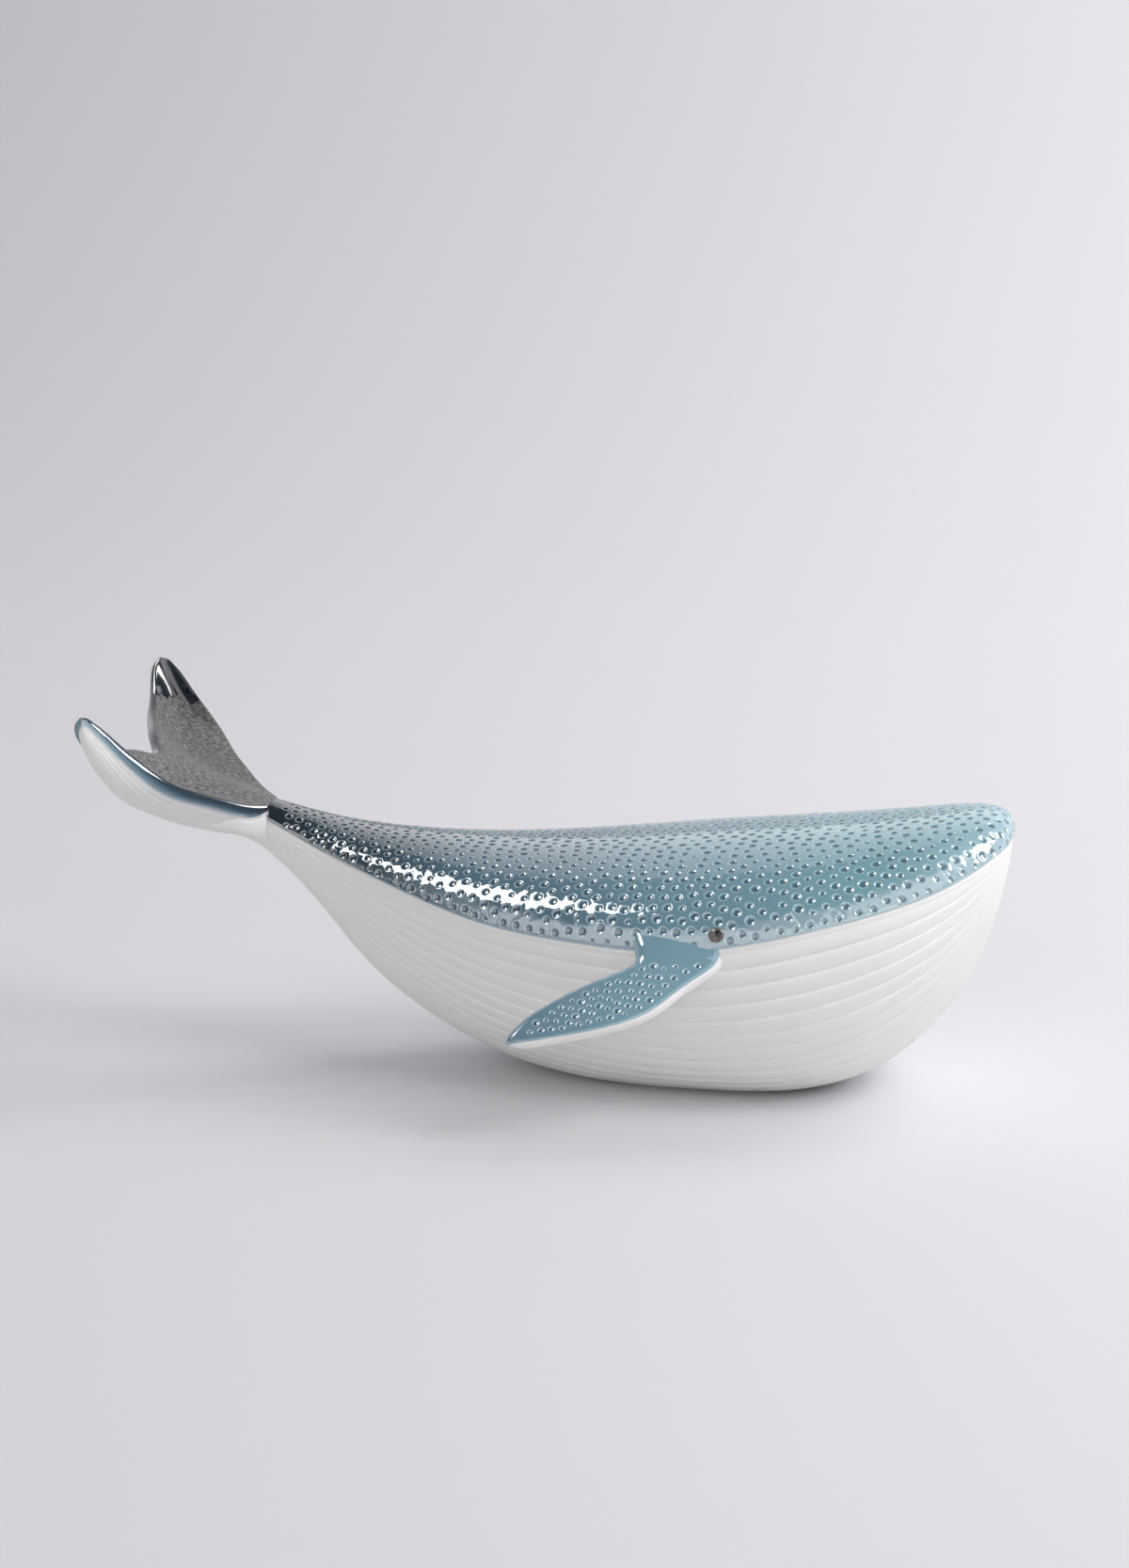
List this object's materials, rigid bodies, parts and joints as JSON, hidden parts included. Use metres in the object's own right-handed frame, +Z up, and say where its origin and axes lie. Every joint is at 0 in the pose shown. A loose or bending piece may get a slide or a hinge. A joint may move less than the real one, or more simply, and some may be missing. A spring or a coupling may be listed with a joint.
{
  "type": "whale figurine",
  "caption": "Hollow porcelain whale lying on its belly, with a pleated white underside, a glazed back, side fins and a raised, notched tail fluke.",
  "frame": {"origin": "centre of the flat ground foot under the belly", "axes": "+X from the tail to the snout, +Y to the animal's left, +Z up from the surface it stands on"},
  "size_m": [0.3412, 0.1984, 0.1401],
  "materials": {
    "bisque": "unglazed, sanded smooth",
    "glaze": "high gloss",
    "eye_enamel": "high gloss"
  },
  "bodies": {
    "root": {"body": "bisque", "back_glaze": "glaze", "tail_fluke": "bisque", "fluke_glaze": "glaze", "right_fin": "bisque", "right_fin_glaze": "glaze", "left_fin": "bisque", "left_fin_glaze": "glaze", "right_eye": "eye_enamel", "left_eye": "eye_enamel"}
  },
  "joints": []
}
